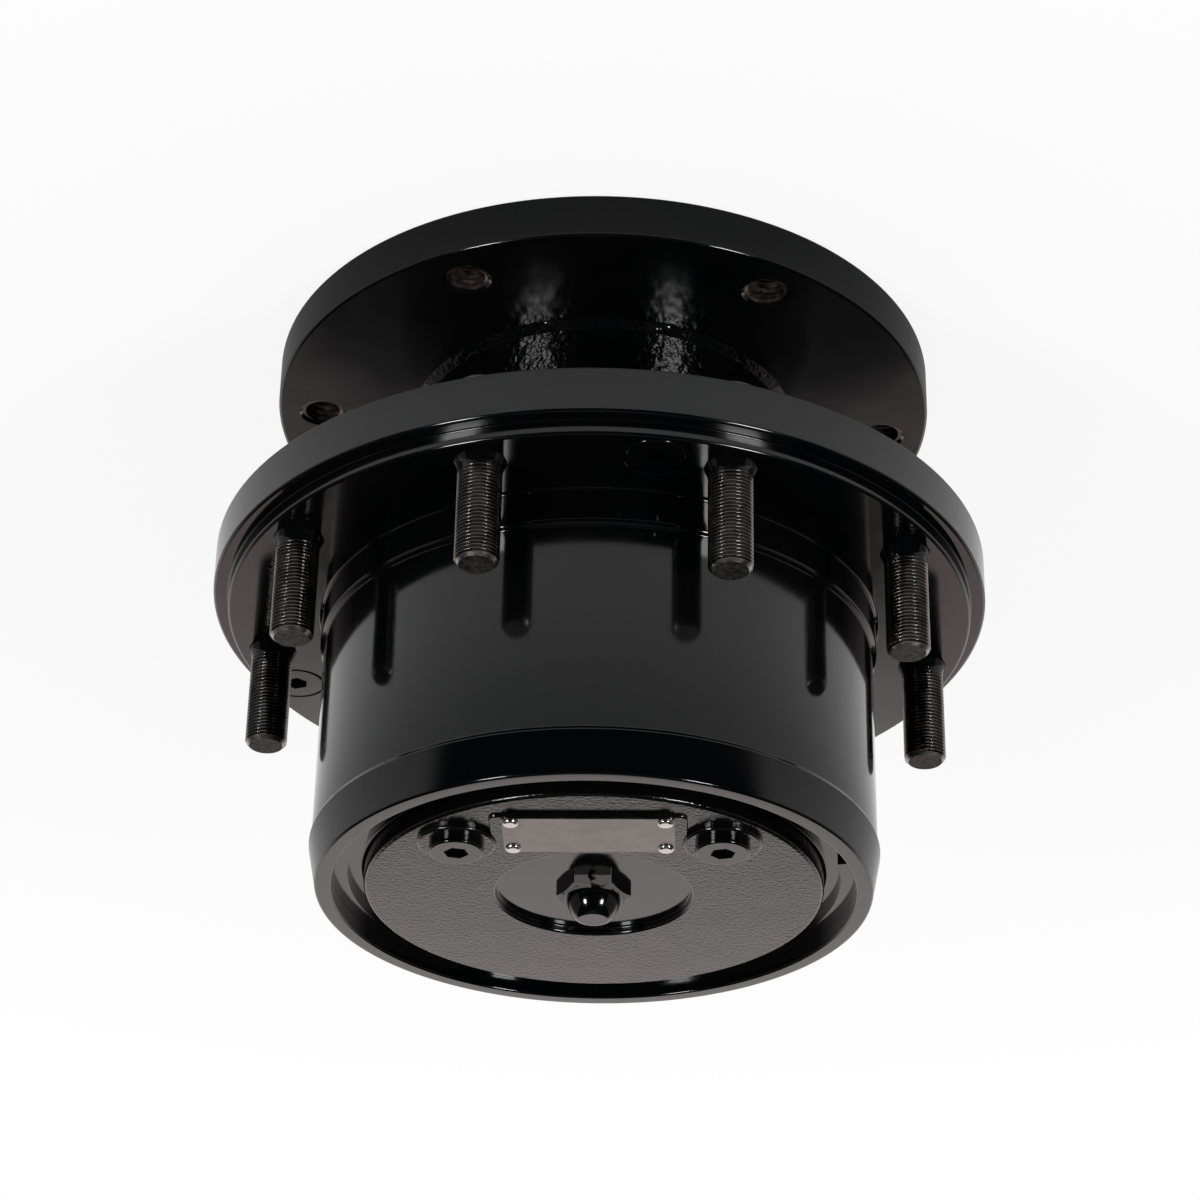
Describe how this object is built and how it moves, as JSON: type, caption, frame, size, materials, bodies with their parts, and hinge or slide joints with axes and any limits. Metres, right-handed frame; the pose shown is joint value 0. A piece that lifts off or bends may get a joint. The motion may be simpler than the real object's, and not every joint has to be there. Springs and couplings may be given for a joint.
{
  "type": "planetary wheel drive",
  "caption": "Planetary wheel drive: a flanged, studded hub turning on a fixed flanged spindle, with a two-stage planetary gear train, roller bearings and a capped input-disconnect cover.",
  "frame": {"origin": "centre of the spindle flange's mounting face", "axes": "+Z along the hub's axis from the mounting face towards the cover; -Y towards the nameplate side of the cover; +X across"},
  "size_m": [0.2922, 0.2922, 0.2296],
  "materials": {
    "black_enamel": "gloss black enamel sprayed over cast iron",
    "stud_steel": "dark oiled alloy steel",
    "screw_steel": "bright bare steel",
    "gear_steel": "ground, case-hardened steel",
    "bearing_steel": "polished bearing steel",
    "cage_steel": "pressed sheet steel",
    "spring_steel": "phosphated spring steel",
    "bronze": "bearing bronze",
    "rubber": "nitrile rubber"
  },
  "bodies": {
    "spindle_body": {"spindle": "black_enamel", "inboard_bearing_cone": "bearing_steel", "outboard_bearing_cone": "bearing_steel", "preload_shim": "bearing_steel", "output_carrier": "gear_steel", "carrier_bolts": "stud_steel", "carrier_dowels": "bearing_steel", "output_planet_pins": "bearing_steel", "output_planet_washers": "bronze", "output_pin_snap_rings": "spring_steel", "sun_thrust_washer": "bronze", "coupling_snap_ring": "spring_steel"},
    "hub_body": {"hub": "black_enamel", "main_seal": "rubber", "inboard_bearing_cup": "bearing_steel", "outboard_bearing_cup": "bearing_steel", "wheel_studs": "stud_steel", "flange_plugs": "black_enamel", "ring_gear": "gear_steel", "ring_gear_pins": "bearing_steel", "cover": "black_enamel", "cover_o_ring": "rubber", "cover_retaining_ring": "black_enamel", "oil_plugs": "black_enamel", "oil_plug_o_rings": "rubber", "disconnect_cap": "black_enamel", "disconnect_cap_o_ring": "rubber", "disconnect_rod": "gear_steel", "nameplate": "black_enamel", "nameplate_screws": "screw_steel"},
    "inboard_roller_set": {"inboard_bearing_rollers": "bearing_steel", "inboard_bearing_cage": "cage_steel"},
    "outboard_roller_set": {"outboard_bearing_rollers": "bearing_steel", "outboard_bearing_cage": "cage_steel"},
    "input_carrier_body": {"input_carrier": "gear_steel", "output_sun": "gear_steel", "output_sun_snap_ring": "spring_steel", "input_planet_pins": "bearing_steel", "input_planet_washers": "bronze", "input_pin_snap_rings": "spring_steel"},
    "input_shaft_body": {"input_shaft": "gear_steel", "input_coupling": "gear_steel", "shaft_spring": "spring_steel", "spring_washer": "spring_steel", "spring_snap_ring": "spring_steel"},
    "output_planet_body_1": {"output_planet_1": "gear_steel", "output_planet_needles_1": "bearing_steel"},
    "input_planet_body_1": {"input_planet_1": "gear_steel", "input_planet_needles_1": "bearing_steel"},
    "output_planet_body_2": {"output_planet_2": "gear_steel", "output_planet_needles_2": "bearing_steel"},
    "input_planet_body_2": {"input_planet_2": "gear_steel", "input_planet_needles_2": "bearing_steel"},
    "output_planet_body_3": {"output_planet_3": "gear_steel", "output_planet_needles_3": "bearing_steel"},
    "input_planet_body_3": {"input_planet_3": "gear_steel", "input_planet_needles_3": "bearing_steel"}
  },
  "joints": [
    {"name": "hub_spin", "type": "hinge", "parent": "spindle_body", "child": "hub_body", "pos_m": [0, 0, 0.1], "axis": [0, 0, 1], "continuous": true},
    {"name": "inboard_roller_orbit", "type": "hinge", "parent": "spindle_body", "child": "inboard_roller_set", "pos_m": [0, 0, 0.078], "axis": [0, 0, 1], "continuous": true},
    {"name": "outboard_roller_orbit", "type": "hinge", "parent": "spindle_body", "child": "outboard_roller_set", "pos_m": [0, 0, 0.1155], "axis": [0, 0, 1], "continuous": true},
    {"name": "output_planet_spin_1", "type": "hinge", "parent": "spindle_body", "child": "output_planet_body_1", "pos_m": [0.054, 0, 0.1547], "axis": [0, 0, 1], "continuous": true},
    {"name": "output_planet_spin_2", "type": "hinge", "parent": "spindle_body", "child": "output_planet_body_2", "pos_m": [-0.027, 0.04677, 0.1547], "axis": [0, 0, 1], "continuous": true},
    {"name": "output_planet_spin_3", "type": "hinge", "parent": "spindle_body", "child": "output_planet_body_3", "pos_m": [-0.027, -0.04677, 0.1547], "axis": [0, 0, 1], "continuous": true},
    {"name": "input_carrier_spin", "type": "hinge", "parent": "spindle_body", "child": "input_carrier_body", "pos_m": [0, 0, 0.1775], "axis": [0, 0, 1], "continuous": true},
    {"name": "input_planet_spin_1", "type": "hinge", "parent": "input_carrier_body", "child": "input_planet_body_1", "pos_m": [0.0495, 0, 0.1917], "axis": [0, 0, 1], "continuous": true},
    {"name": "input_planet_spin_2", "type": "hinge", "parent": "input_carrier_body", "child": "input_planet_body_2", "pos_m": [-0.02475, 0.04287, 0.1917], "axis": [0, 0, 1], "continuous": true},
    {"name": "input_planet_spin_3", "type": "hinge", "parent": "input_carrier_body", "child": "input_planet_body_3", "pos_m": [-0.02475, -0.04287, 0.1917], "axis": [0, 0, 1], "continuous": true},
    {"name": "input_shaft_spin", "type": "hinge", "parent": "spindle_body", "child": "input_shaft_body", "pos_m": [0, 0, 0.1], "axis": [0, 0, 1], "continuous": true}
  ],
  "couplings": [
    {"joint": "inboard_roller_orbit", "follows": "hub_spin", "ratio": 0.53881},
    {"joint": "outboard_roller_orbit", "follows": "hub_spin", "ratio": 0.55154},
    {"joint": "output_planet_spin_1", "follows": "hub_spin", "ratio": 3},
    {"joint": "output_planet_spin_2", "follows": "hub_spin", "ratio": 3},
    {"joint": "output_planet_spin_3", "follows": "hub_spin", "ratio": 3},
    {"joint": "input_carrier_spin", "follows": "hub_spin", "ratio": -3},
    {"joint": "input_planet_spin_1", "follows": "hub_spin", "ratio": 10.286},
    {"joint": "input_planet_spin_2", "follows": "hub_spin", "ratio": 10.286},
    {"joint": "input_planet_spin_3", "follows": "hub_spin", "ratio": 10.286},
    {"joint": "input_shaft_spin", "follows": "hub_spin", "ratio": -21}
  ]
}
